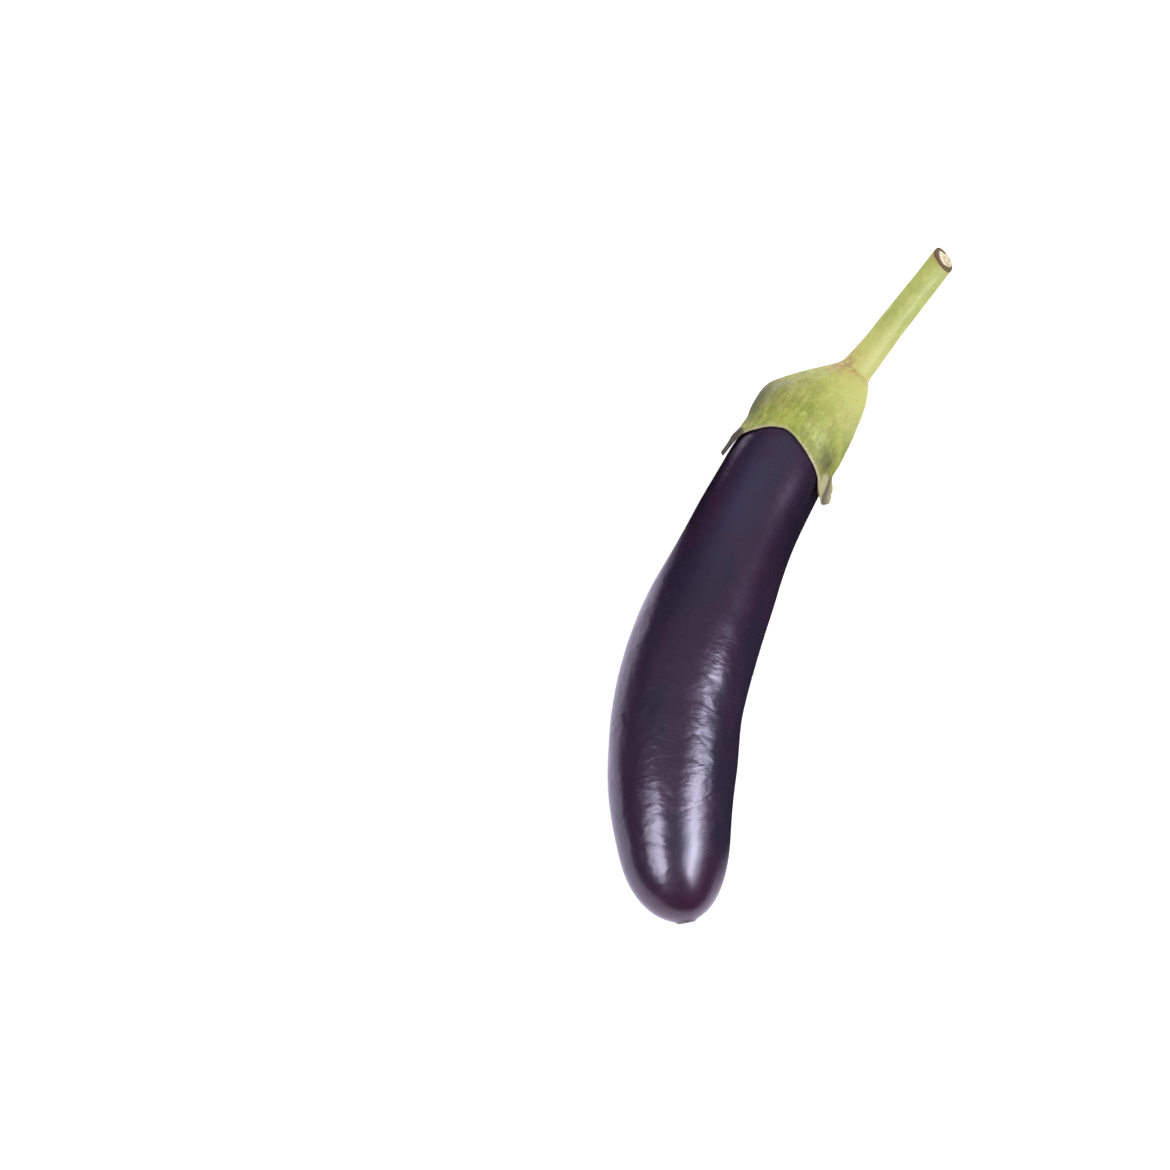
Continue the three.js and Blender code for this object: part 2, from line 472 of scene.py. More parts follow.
def lumps(obj, size, height, shift, group=""):
    """Pushes the surface in and out by a soft noise. The piece is shifted while that is done, so that
    each call meets another stretch of the noise."""
    cloud = bpy.data.textures.new("cloud", "CLOUDS")
    cloud.noise_scale = size * MM
    cloud.noise_depth = 1
    only(obj)
    for vertex in obj.data.vertices:
        vertex.co.y += shift * MM
    modify(obj, "DISPLACE", texture=cloud, texture_coords="LOCAL", strength=height * MM, mid_level=0.5,
           vertex_group=group)
    for vertex in obj.data.vertices:
        vertex.co.y -= shift * MM


# %% What each vertex is told
def at_vertices(obj, value):
    """A function's value at each vertex, from its place along in mm, its angle from the top in degrees
    and its radius in mm."""
    values = []
    for vertex in obj.data.vertices:
        x, y, z = vertex.co / MM
        values.append(value(x, math.degrees(math.atan2(y, z)), math.hypot(y, z)))
    return values


def weigh(obj, name, weight):
    """A vertex group, from a function of the vertex's place."""
    group = obj.vertex_groups.new(name=name)
    for index, share in enumerate(at_vertices(obj, weight)):
        group.add([index], share, "REPLACE")


def store(obj, name, values):
    """An attribute that the finish reads, with one number for each vertex."""
    obj.data.attributes.new(name, "FLOAT", "POINT").data.foreach_set("value", values)


def remember(obj):
    """Keeps the straight place of each vertex, for patterns that follow the bow."""
    places = np.empty(len(obj.data.vertices) * 3, np.float32)
    obj.data.vertices.foreach_get("co", places)
    straight = obj.data.attributes.new("straight", "FLOAT_VECTOR", "POINT")
    straight.data.foreach_set("vector", places / MM)


# %% Bending a finished piece
def bend(obj):
    """Bends a straight piece along the centre line, and rests it on the table."""
    modify(obj, "CURVE", object=spine, deform_axis="POS_X")
    bpy.ops.object.mode_set(mode="EDIT")
    resting = pick(obj, lambda vertex: vertex.co.z < 0)
    if resting:
        bpy.ops.transform.resize(value=(1, 1, 0), center_override=(0, 0, 0))
    bpy.ops.object.mode_set(mode="OBJECT")
    bpy.ops.object.shade_smooth()
    obj.data.materials.clear()
    low = [round(min(v.co[i] for v in obj.data.vertices) / MM, 1) for i in range(3)]
    high = [round(max(v.co[i] for v in obj.data.vertices) / MM, 1) for i in range(3)]
    print(obj.name, len(obj.data.polygons), "faces", low, high, resting, "on the table")


# %% Soft steps and round ends
def smoothstep(x, low, high):
    """0 at low and 1 at high, with a soft start and end."""
    share = min(max((x - low) / (high - low), 0), 1)
    return share * share * (3 - 2 * share)


def dome(distance, length, bluntness):
    """The outline of a round end: 0 at the very end and 1 where the dome is over."""
    return math.sqrt(1 - max(0, 1 - max(distance, 0) / length) ** bluntness)


# %% [markdown]
# ## The fruit
#
# The real fruit is one berry with a taut, waxy skin: a blunt blossom end, a belly, and a slimmer neck
# that goes under the calyx. A sphere stretched out would have the wrong ends, so a ring is extruded from
# end to end with the radii that the solid has, and both ends are closed by a grid of faces, because a
# fan of thin triangles would pinch the highlight at the tip. Soft lumps keep it from looking turned on a
# lathe: low and wide ones all over, and stronger ones on top of the belly, where the skin is wavy.

# %% The fruit's sections
BELLY_START, BELLY_END, NECK_START = 60, 88, 160
BLOSSOM_RADIUS, BELLY_RADIUS, NECK_RADIUS = 17, 22.5, 17.6
BLOSSOM_DOME, BLOSSOM_BLUNTNESS = 25, 2.15
SHOULDER_DOME, SHOULDER_BLUNTNESS = 40, 1.5
JOINT = 211
SHOULDER_TOP = JOINT - 6
FRUIT_SIDES, END_RINGS, BODY_STEPS = 32, 8, 15
END_PUSH = 0.6


def fruit_radius(x):
    """In mm, at a place along the fruit."""
    swelling = (BELLY_RADIUS - BLOSSOM_RADIUS) * smoothstep(x, 0, BELLY_START)
    narrowing = (BELLY_RADIUS - NECK_RADIUS) * smoothstep(x, BELLY_END, NECK_START)
    blossom_end = dome(x, BLOSSOM_DOME, BLOSSOM_BLUNTNESS)
    shoulder = dome(SHOULDER_TOP - x, SHOULDER_DOME, SHOULDER_BLUNTNESS)
    return (BLOSSOM_RADIUS + swelling - narrowing) * blossom_end * shoulder


def fruit_stations():
    """The rings stand close together near both ends, where the outline turns fast."""
    steps = [1 - math.cos(math.pi / 2 * k / END_RINGS) for k in range(1, END_RINGS + 1)]
    blossom = [BLOSSOM_DOME * step for step in steps]
    shoulder = [SHOULDER_TOP - SHOULDER_DOME * step for step in reversed(steps)]
    body = [blossom[-1] + (shoulder[0] - blossom[-1]) * k / BODY_STEPS for k in range(1, BODY_STEPS)]
    return [(x, fruit_radius(x)) for x in (*blossom, *body, *shoulder)]


print("the fruit has", len(fruit_stations()), "rings, the widest", BELLY_RADIUS, "mm in radius")

# %% Where the skin is lumpy
CAP_REACH = 178
LUMPS_FADE = 14
WAVES_FROM, WAVES_FULL, WAVES_TO, WAVES_FADE = 32, 48, 118, 22
# How far down the sides the waves go, as the cosine of the angle from the top
WAVES_LOWEST, WAVES_HIGHEST = 0.1, 0.6


def bare(x, angle, radius):
    """All the skin that the calyx leaves bare."""
    return smoothstep(CAP_REACH - x, 0, LUMPS_FADE)


def wavy(x, angle, radius):
    """The skin has soft waves on the top of the belly."""
    along = smoothstep(x, WAVES_FROM, WAVES_FULL) * smoothstep(WAVES_TO - x, 0, WAVES_FADE)
    return along * smoothstep(math.cos(math.radians(angle)), WAVES_LOWEST, WAVES_HIGHEST)


# %% Extrude, close and smooth the fruit
def close_ring(obj, x, push):
    """Fills the ring at x with a grid of faces, and pushes the middle of the grid outwards."""
    pick(obj, lambda vertex: abs(vertex.co.x / MM - x) < 0.01)
    bpy.ops.mesh.select_mode(type="EDGE")
    bpy.ops.mesh.fill_grid(span=FRUIT_SIDES // 4)
    bpy.ops.mesh.select_mode(type="VERT")
    bpy.ops.mesh.select_less()
    bpy.ops.transform.translate(value=(push * MM, 0, 0))


def make_fruit():
    stations = fruit_stations()
    fruit = start_ring("fruit_skin", FRUIT_SIDES, *stations[0])
    extrude_rings(stations)
    close_ring(fruit, stations[0][0], -END_PUSH)
    close_ring(fruit, stations[-1][0], END_PUSH)
    bpy.ops.mesh.select_all(action="SELECT")
    bpy.ops.mesh.normals_make_consistent(inside=False)
    subdivide(fruit, 2)
    weigh(fruit, "bare", bare)
    lumps(fruit, 38, 1.1, shift=300, group="bare")
    lumps(fruit, 9, 0.14, shift=500, group="bare")
    weigh(fruit, "wavy", wavy)
    lumps(fruit, 9, 0.58, shift=710, group="wavy")
    remember(fruit)
    bend(fruit)
    return fruit


fruit = make_fruit()

# %% [markdown]
# ## The calyx
#
# The sepals have grown together into a cone over the shoulder, and end in pointed lobes that lie along
# the neck. Their tips have dried and curl away. The sheet is extruded as rings down to the lobes' ends,
# the arches between the lobes are pulled back by a weighted Displace and laid on the cap again by another,
# and the dried tips are extruded from the lobes and turned outwards step by step. A last Displace raises a
# rib down the middle of each sepal, with shallow folds between the ribs. Solidify then gives the sheet its
# thickness.

# %% The cap's outline
CALYX_SIDES, CAP_STEPS, LOBE_STEPS = 72, 14, 9
# The sheet's thickness, how far it stands off the skin, and how softly the cone turns into the wall
SEPAL, OFF_SKIN, CAP_ROUNDING = 1.0, 0.1, 1.6
# Each side of the cap, seen from above: a cone starts at a radius, with a slope that grows on the left and
# eases on the right, and meets a wall that is widest at one place and falls away from it
LEFT_SIDE = {"start": 5.6, "slope": 0.20, "growing": 0.0146, "widest": 18.5, "at": 185, "falling": 0.0114}
RIGHT_SIDE = {"start": 5.6, "slope": 0.84, "growing": -0.004, "widest": 18.2, "at": 172, "falling": 0.0058}


def smooth_min(a, b, rounding):
    """The smaller of two lengths, rounded where they are nearly equal."""
    near = max(0, rounding - abs(a - b)) / rounding
    return min(a, b) - near * near * rounding / 4


def cap_side(x, side):
    """The inner face of the sheet on one side."""
    down = JOINT - x
    cone = side["start"] + side["slope"] * down + side["growing"] * down * down
    wall = side["widest"] - side["falling"] * (x - side["at"]) ** 2
    return smooth_min(cone, max(wall, fruit_radius(x) + OFF_SKIN + SEPAL), CAP_ROUNDING) - SEPAL


def cap_ring(x):
    """A ring of the cap: its place, radius and how far it stands off the axis to the left."""
    left, right = cap_side(x, LEFT_SIDE), cap_side(x, RIGHT_SIDE)
    return x, (left + right) / 2, (left - right) / 2


print("the cap is", [round(v, 1) for v in cap_ring(CAP_REACH)], "at its lower end")

# %% The edge with its lobes and arches
LOBES_START, LOBES_END = CAP_REACH, 163.5
TIPS_THINNEST = LOBES_END - 4
ARCH_ROUNDNESS = 0.18
# Lobe tips and the arches between them: the angle from the top towards +Y and the edge's place along X
CALYX_EDGE = (
    (-74, LOBES_END), (12, 174.9), (77, 166), (108, 172), (140, 165), (166, 170.5), (190, 164.5),
    (213, 171.5), (240, 165.5), (261, 172), (286, LOBES_END),
)
LOBE_ANGLES = [angle for angle, _ in CALYX_EDGE[:-1:2]]


def edge_at(angle):
    """Where the sheet ends at an angle round the neck."""
    first = CALYX_EDGE[0][0]
    angle = (angle - first) % 360 + first
    for k, ((a0, x0), (a1, x1)) in enumerate(zip(CALYX_EDGE, CALYX_EDGE[1:])):
        if a0 <= angle <= a1:
            (lobe, lobe_x), (arch, arch_x) = ((a0, x0), (a1, x1)) if k % 2 == 0 else ((a1, x1), (a0, x0))
            share = (angle - arch) / (lobe - arch)
            rounded = math.hypot(share, ARCH_ROUNDNESS) - ARCH_ROUNDNESS
            return arch_x + (lobe_x - arch_x) * rounded / (math.hypot(1, ARCH_ROUNDNESS) - ARCH_ROUNDNESS)
    raise ValueError(angle)


def turn_between(angle, other):
    """The smaller angle between two directions round the neck, in degrees."""
    return abs((angle - other + 180) % 360 - 180)


def lobe_of(angle):
    """The nearest lobe, as its angle."""
    return min(LOBE_ANGLES, key=lambda lobe: turn_between(lobe, angle))


print("lobes at", LOBE_ANGLES, "degrees from the top")


# %% The sheet, down to the lobes
LOOSEST = 3


def calyx_stations():
    cap = [JOINT - (JOINT - LOBES_START) * k / CAP_STEPS for k in range(CAP_STEPS + 1)]
    lobes = [LOBES_START + (LOBES_END - LOBES_START) * k / LOBE_STEPS for k in range(1, LOBE_STEPS + 1)]
    return [cap_ring(x) for x in (*cap, *lobes)]


def arch_pull(x, angle, radius):
    """How far a vertex goes back towards the joint, as a share of the lobes' length."""
    length = LOBES_START - LOBES_END
    pulled = min(max((edge_at(angle) - LOBES_END) / length, 0), 1)
    return min(max(LOBES_START - x, 0) / length, 1) * pulled


def loose(x, angle, radius):
    """How far a vertex that was pulled back stands off the cap there, as a share of the loosest."""
    x, middle, aside = cap_ring(x)
    return min(max((radius - middle - aside * math.sin(math.radians(angle))) / LOOSEST, 0), 1)


def face_out(obj):
    """Turns an open sheet's faces away from the X axis."""
    bpy.ops.mesh.select_all(action="SELECT")
    bpy.ops.mesh.normals_make_consistent(inside=False)
    mesh = bmesh.from_edit_mesh(obj.data)
    outwards = sum(f.normal.dot(f.calc_center_median() * Vector((0, 1, 1))) for f in mesh.faces)
    if outwards < 0:
        bpy.ops.mesh.flip_normals()


def displace(obj, name, weight, height, direction="NORMAL"):
    """Pushes the vertices out, each by its weight's share of a height in mm."""
    weigh(obj, name, weight)
    modify(obj, "DISPLACE", direction=direction, strength=height * MM, mid_level=0, vertex_group=name)


def make_sheet():
    """The open sheet, with its arches."""
    stations = calyx_stations()
    sheet = start_ring("calyx_cap", CALYX_SIDES, *stations[0])
    extrude_rings(stations)
    face_out(sheet)
    bpy.ops.object.mode_set(mode="OBJECT")
    displace(sheet, "arch", arch_pull, LOBES_START - LOBES_END, direction="X")
    displace(sheet, "loose", loose, -LOOSEST)
    return sheet


# %% Ribs and folds
RIB_HEIGHT, RIB_SHARE, FOLD_SHARE = 1.0, 0.72, 0.28
# A rib's half width in degrees, and what is added to it at a radius of 1 mm and shrinks as the cap
# widens, so that the ribs widen less than the cap does
RIB_ANGLE, RIB_NARROWING = 9, 60
FOLDS, FOLD_SWAY, FOLD_LENGTH = 14, 40, 7
RIBS_FULL, RIBS_FADE = LOBES_START + 6, 8


def rib(x, angle, radius):
    """A soft ridge from the stem down the middle of each sepal, and shallow folds between them."""
    width = RIB_ANGLE + RIB_NARROWING / radius
    ridge = math.exp(-((turn_between(angle, lobe_of(angle)) / width) ** 2))
    fold = 0.5 + 0.5 * math.cos(math.radians(FOLDS * angle + FOLD_SWAY * math.sin(x / FOLD_LENGTH)))
    fading = smoothstep(x, TIPS_THINNEST, RIBS_FULL) * smoothstep(JOINT - x, 0, RIBS_FADE)
    return (RIB_SHARE * ridge + FOLD_SHARE * fold) * fading


# %% How the lobes dry
# How far each lobe's lower side stands off the skin, and for its dried tip: half its width in degrees,
# its length, how far it droops outwards and how much it narrows at each step
DRYING_LOBES = {
    -74: (4.8, 17, 4.6, 44, 0.98),
    77: (2.4, 13, 8.0, 9, 0.84),
    140: (0.3, 12, 2.6, 14, 0.86),
    190: (0.0, 12, 2.2, 3, 0.86),
    240: (0.4, 12, 3.0, 16, 0.86),
}
DRY_FROM, DRY_FADE, DRY_WIDTH = 173.5, 6.5, 17
LIFTED_FROM, LIFTED_WIDTH, HIGHEST_LIFT = 173, 24, 5
# Across a lobe, in degrees below its middle: where its lift begins and is full
LIFT_BEGINS, LIFT_FULL = -20, 12
GROOVE_WIDTH, GROOVE_DEPTH = 4, 0.5


def groove(x, angle, radius):
    """1 along the middle of each lobe, where it keeps a groove."""
    return math.exp(-((turn_between(lobe_of(angle), angle) / GROOVE_WIDTH) ** 2))


def dryness(x, angle, radius):
    """1 at the lobes' tips, which have dried."""
    turn = turn_between(lobe_of(angle), angle)
    return smoothstep(DRY_FROM - x, 0, DRY_FADE) * math.exp(-((turn / DRY_WIDTH) ** 4))


def lifted(x, angle, radius):
    """How far a drying lobe turns up along its lower side, as a share of the highest lift."""
    lobe = lobe_of(angle)
    turn = turn_between(lobe, angle)
    below = math.copysign(turn, turn_between(0, angle) - turn_between(0, lobe))
    across = smoothstep(below, LIFT_BEGINS, LIFT_FULL) - GROOVE_DEPTH * groove(x, angle, radius)
    across = across * math.exp(-((turn / LIFTED_WIDTH) ** 4))
    along = smoothstep(LIFTED_FROM - x, 0, LIFTED_FROM - LOBES_END)
    return max(DRYING_LOBES[lobe][0] / HIGHEST_LIFT * across * along, 0)


# %% The dried tips
TIP_STEPS = 5
# How far the sides of a tip roll up at each step, in mm
ROLL = 0.32


def middle_of_selected(obj):
    """The mean place of the selected vertices."""
    mesh = bmesh.from_edit_mesh(obj.data)
    chosen = [v for v in mesh.verts if v.select]
    return sum((v.co for v in chosen), Vector()) / len(chosen)


def raise_sides(obj, across, out, height):
    """Lifts the outermost vertices of the selected row, so that the strip rolls up like a gutter."""
    mesh = bmesh.from_edit_mesh(obj.data)
    row = sorted((v for v in mesh.verts if v.select), key=lambda v: v.co.dot(across))
    for vertex in row[1:-1]:
        vertex.select_set(False)
    bmesh.update_edit_mesh(obj.data)
    bpy.ops.transform.translate(value=out * height * MM)
    for vertex in row:
        vertex.select_set(True)
    mesh.select_flush(True)
    bmesh.update_edit_mesh(obj.data)


def extrude_tip(sheet, angle, half_width, length, droop, narrowing):
    """Draws a lobe out into its dried tip, which droops outwards."""
    out = Vector((0, math.sin(math.radians(angle)), math.cos(math.radians(angle))))
    across = Vector((1, 0, 0)).cross(out)

    def at_lobe_end(edge):
        middle = (edge.verts[0].co + edge.verts[1].co) / 2
        turn = turn_between(math.degrees(math.atan2(middle.y, middle.z)), angle)
        return edge.is_boundary and middle.x < LOBES_START * MM and turn < half_width

    pick(sheet, at_lobe_end, "EDGE")
    bpy.ops.mesh.select_mode(type="VERT")
    for k in range(TIP_STEPS):
        turn = math.radians(droop) * (k + 0.5) / TIP_STEPS
        move = (out * math.sin(turn) - Vector((math.cos(turn), 0, 0))) * length / TIP_STEPS
        bpy.ops.mesh.extrude_region_move(TRANSFORM_OT_translate={"value": move * MM})
        bpy.ops.transform.resize(value=(narrowing,) * 3, center_override=middle_of_selected(sheet))
        raise_sides(sheet, across, out, ROLL)


# %% The whole calyx
THIN_SHARE = 0.45


def thick(x, angle, radius):
    """The sheet thins out towards the tips."""
    return smoothstep(x, TIPS_THINNEST, LOBES_START)


def distances(obj, marks):
    """How far each vertex is from the nearest of some places, in mm."""
    tree = KDTree(len(marks))
    for k, mark in enumerate(marks):
        tree.insert(mark, k)
    tree.balance()
    return [tree.find(v.co / MM)[2] for v in obj.data.vertices]


def make_calyx():
    calyx = make_sheet()
    displace(calyx, "lifted", lifted, HIGHEST_LIFT)
    bpy.ops.object.mode_set(mode="EDIT")
    for angle, (_, half_width, length, droop, narrowing) in DRYING_LOBES.items():
        extrude_tip(calyx, angle, half_width, length, droop, narrowing)
    face_out(calyx)
    vertices = bmesh.from_edit_mesh(calyx.data).verts
    margin = [v.co / MM for v in vertices if v.is_boundary and v.co.x < LOBES_START * MM]
    bpy.ops.object.mode_set(mode="OBJECT")
    displace(calyx, "rib", rib, RIB_HEIGHT)
    weigh(calyx, "thick", thick)
    modify(calyx, "SOLIDIFY", thickness=SEPAL * MM, offset=1, vertex_group="thick",
           thickness_vertex_group=THIN_SHARE)
    subdivide(calyx, 2)
    lumps(calyx, 7, 0.35, shift=900)
    lumps(calyx, 2.2, 0.12, shift=700)
    remember(calyx)
    store(calyx, "margin", distances(calyx, margin))
    store(calyx, "dry", at_vertices(calyx, dryness))
    store(calyx, "groove", at_vertices(calyx, groove))
    bend(calyx)
    return calyx


calyx = make_calyx()

# %% [markdown]
# ## The stem
#
# The stem is a green stalk, thicker where it grows out of the calyx, and cut through at a slant. The cut
# shows a dark ring of bark round pale pith. A ring is extruded from just inside the cap, whose outline its
# foot follows, and along the stalk. The end is cut by bisecting, inset for the bark and pressed in a
# little, because the pith dries and sinks.

# %% The stalk
STEM_SIDES = 20
STEM_STATIONS = (
    (JOINT + 1.5, 5.75), (JOINT + 3.5, 5.65), (JOINT + 7, 5.4), (JOINT + 13, 5.1), (JOINT + 20, 4.95),
    (JOINT + 28, 4.9), (JOINT + 36, 4.8), (JOINT + 42, 4.7), (JOINT + 58, 4.7),
)
# The foot's rings: how far each is from the joint, and how far it stands out of the cap
FOOT = ((-4.5, -0.5), (-3.2, -0.15), (-1.8, 0.08), (-0.4, 0.2))
HIDDEN_INSET = 1.0


def foot_rings():
    """The foot of the stem follows the cap's outline, from inside the cap up to the joint."""
    for down, out in FOOT:
        x, radius, aside = cap_ring(JOINT + down)
        yield x, radius + SEPAL + out, aside


def make_stalk():
    """The stalk, closed at its hidden end and still too long, in edit mode."""
    stations = [*foot_rings(), *STEM_STATIONS]
    stem = start_ring("stem_stalk", STEM_SIDES, *stations[0])
    bpy.ops.mesh.edge_face_add()
    bpy.ops.mesh.inset(thickness=HIDDEN_INSET * MM)
    pick(stem, lambda vertex: vertex.is_boundary)
    extrude_rings(stations)
    bpy.ops.mesh.select_all(action="SELECT")
    bpy.ops.mesh.normals_make_consistent(inside=False)
    return stem


print("stem from", JOINT + FOOT[0][0], "to", STEM_STATIONS[-1][0], "mm before the cut")

# %% The cut
CUT_BACK = 0.5
CUT_AT = Vector(((spine_length - CUT_BACK) * MM, 0, 0))
CUT_NORMAL = Vector((1, -0.34, 0.42)).normalized()
# The rings of the cut from its edge inwards, and how far the pith has sunk
CUT_EDGE, BARK, PITH_RIM, PITH_HEART = 0.15, 0.7, 0.3, 1.4
PITH_SUNK = 0.35
# The pith's middle is off the cut's, because the bark is thicker on one side
PITH_MIDDLE = CUT_AT + Vector((0.4, -0.3, -1.1)) * MM
CUT_DEPTH, FAR_FROM_PITH = 0.6, 9.0


def on_cut(face):
    return abs((face.calc_center_median() - CUT_AT).dot(CUT_NORMAL)) < 0.01 * MM


def from_pith(vertex):
    """How far a vertex on the cut is from the middle of the pith, in mm. Off the cut, it is far."""
    depth = (CUT_AT - vertex.co).dot(CUT_NORMAL)
    return (vertex.co - PITH_MIDDLE).length / MM if depth < CUT_DEPTH * MM else FAR_FROM_PITH


def make_stem():
    stem = make_stalk()
    bpy.ops.mesh.bisect(plane_co=CUT_AT, plane_no=CUT_NORMAL, clear_outer=True, use_fill=True)
    pick(stem, on_cut, "FACE")
    for width in (CUT_EDGE, BARK, PITH_RIM):
        bpy.ops.mesh.inset(thickness=width * MM)
    bpy.ops.transform.translate(value=CUT_NORMAL * -PITH_SUNK * MM)
    bpy.ops.mesh.inset(thickness=PITH_HEART * MM)
    bpy.ops.mesh.poke()
    bpy.ops.object.mode_set(mode="OBJECT")
    subdivide(stem, 2)
    store(stem, "cut", [from_pith(vertex) for vertex in stem.data.vertices])
    remember(stem)
    lumps(stem, 6, 0.25, shift=200)
    bend(stem)
    return stem


stem = make_stem()

# %% [markdown]
# ## The finishes
#
# Every finish is painted in the straight shape that each piece had before it was bent, which it keeps as
# an attribute in millimetres: streaks then run along the stem, and wrinkles across the fruit, all round
# the bow. Colours are named as a screen shows them, less the light that falls on them.

# %% Naming a colour
LIGHT_ON_TOP = 1.3


def paint(red, green, blue):
    """A colour from 0 to 255, as the shader wants it."""
    linear = [((part / 255 + 0.055) / 1.055) ** 2.4 for part in (red, green, blue)]
    return tuple(part / LIGHT_ON_TOP for part in linear)


# %% [markdown]
# ### The skin
#
# The skin is nearly black, with violet, maroon and blue-grey showing through in broad soft areas. Its wax
# is smooth at the blossom end. Over the belly it has fine wrinkles across the fruit, in patches, which
# break up the streaks of light. A painted highlight would stay put when the light moves, so the wrinkles
# are bumps and the streaks come from the lamps. The neck is the exception: its colour has a painted sheen
# along the top and painted shade down the sides. A dry spot is left where the flower was.

# %% The skin's colours
VIOLET, MAROON, BLUE_GREY = paint(53, 29, 60), paint(64, 24, 54), paint(38, 31, 56)
BLOSSOM_SCAR = paint(96, 84, 88)
# A painted sheen for the top of the neck and painted shade for its sides, and pale speckles
PAINTED_NECK_SHEEN, PAINTED_NECK_SHADE, SPECKLE = paint(54, 48, 74), paint(22, 13, 32), paint(120, 100, 130)
NECK_TOP_FROM, NECK_SIDES_FROM, NECK_FULL = 90, 100, 150


def skin_colour(skin, straight, scar):
    """Violet with blue-grey and maroon areas, and on the neck a painted sheen on top and painted shade at
    its sides.
    """
    along, side, up = (skin.part(straight, axis) for axis in range(3))
    broad = skin.noise(skin.stretch(straight, (0.5, 1, 1)), 0.06, detail=2)
    colour = skin.mix(skin.between(broad, 0.42, 0.62), VIOLET, BLUE_GREY)
    # Painted sheen: the top of the neck is paler, a painted reflection
    painted_sheen = skin.between(along, NECK_TOP_FROM, NECK_FULL) * skin.between(up, 2, 12)
    painted_sheen = painted_sheen * skin.between(side, -8, 3) * skin.between(side, 14, 5)
    colour = skin.mix(painted_sheen, colour, PAINTED_NECK_SHEEN)
    blotches = skin.noise(straight, 0.11, detail=4, roughness=0.6)
    colour = skin.mix(skin.between(blotches, 0.5, 0.72) * 0.4, colour, MAROON)
    colour = skin.mix(skin.between(along, 30, 4) * 0.8, colour, MAROON)
    # Painted shade: the sides of the neck are darker
    painted_side_shade = skin.between(skin.away_from(side, 1.0), 9, 17)
    painted_side_shade = painted_side_shade * skin.between(along, NECK_SIDES_FROM, NECK_FULL)
    colour = skin.mix(painted_side_shade * 0.7, colour, PAINTED_NECK_SHADE)
    speckles = skin.noise(straight, 1.0, detail=2)
    colour = skin.mix(skin.between(speckles, 0.6, 0.78) * 0.08, colour, SPECKLE)
    return skin.mix(scar, colour, BLOSSOM_SCAR)


# %% The skin's wrinkles
# Where the wrinkles begin and end along the fruit, and how much later they begin on the left, in mm for
# each mm to the left
WRINKLES_FROM, WRINKLES_FULL, WRINKLES_TO, WRINKLES_FADE = 28, 46, 112, 26
LATER_ON_LEFT = 0.9
WRINKLE_HEIGHT, GRAIN_HEIGHT = 0.22, 0.01


def wrinkled_area(skin, straight):
    """1 on top of the belly, where the skin is wrinkled."""
    along, side, up = (skin.part(straight, axis) for axis in range(3))
    wrinkled = skin.between(along - side * LATER_ON_LEFT, WRINKLES_FROM, WRINKLES_FULL)
    wrinkled = wrinkled * skin.between(along, WRINKLES_TO, WRINKLES_TO - WRINKLES_FADE)
    return wrinkled * skin.between(up, -6, 8)


def skin_relief(skin, straight, wrinkled):
    """Fine wrinkles in patches over wider waves. On the left the waves go on to the blossom end."""
    waves_only = skin.between(skin.part(straight, 1), 0, 5) * skin.between(skin.part(straight, 0), 7, 16)
    waves_only = waves_only * (1 - wrinkled)
    patches = skin.between(skin.noise(straight, 0.09, detail=2), 0.34, 0.66) * 0.75 + 0.25
    across = skin.stretch(straight, (0.48, 0.2, 0.2))
    fine = skin.noise(across, 1.0, detail=2, roughness=0.4, distortion=0.7)
    waves = skin.noise(skin.stretch(straight, (0.2, 0.13, 0.13)), 1.0, detail=1, distortion=0.6)
    height = fine * patches * (wrinkled * 0.75 + waves_only * 0.42 + 0.12)
    height = height + waves * (wrinkled * 1.2 + waves_only * 0.9 + 0.2)
    wrinkles = skin.bump(height, WRINKLE_HEIGHT * MM)
    return skin.bump(skin.noise(straight, 1.3, detail=1), GRAIN_HEIGHT * MM, normal=wrinkles)


# %% The skin
def make_skin():
    skin = Finish("waxy_skin")
    straight = skin.straight_place()
    scar = skin.between(skin.noise(straight, 0.8) * 1.4 + skin.part(straight, 0), 1.3, 0.6)
    wrinkled = wrinkled_area(skin, straight)
    roughness = skin.noise(straight, 0.3, detail=3) * 0.10 + wrinkled * 0.05 + scar * 0.3 + 0.20
    skin.set(base_color=skin_colour(skin, straight, scar), roughness=roughness)
    skin.set(normal=skin_relief(skin, straight, wrinkled))
    return skin.material


# %% [markdown]
# ### The calyx and the stem
#
# Both are the same green skin, so they share a base: two greens in patches, streaks along the growth and
# fine mottling. The calyx adds shade at the root of one lobe and on its left shoulder, a bruise, thin brown
# lines, a scar round the joint, a pale margin and the dry tips of its lobes. The stem adds its cut: a dark
# rim of bark round the pith. Marks are painted by their distance from a place on the piece.

# %% Greens
GREEN, DEEP_GREEN = paint(172, 181, 66), paint(138, 150, 42)
PALE_GREEN, YELLOW_GREEN = paint(204, 209, 118), paint(200, 196, 92)
SHADED_GREEN, FOOT_YELLOW = paint(98, 102, 42), paint(214, 211, 120)
RUST, SCAR_BROWN = paint(188, 146, 82), paint(186, 146, 98)


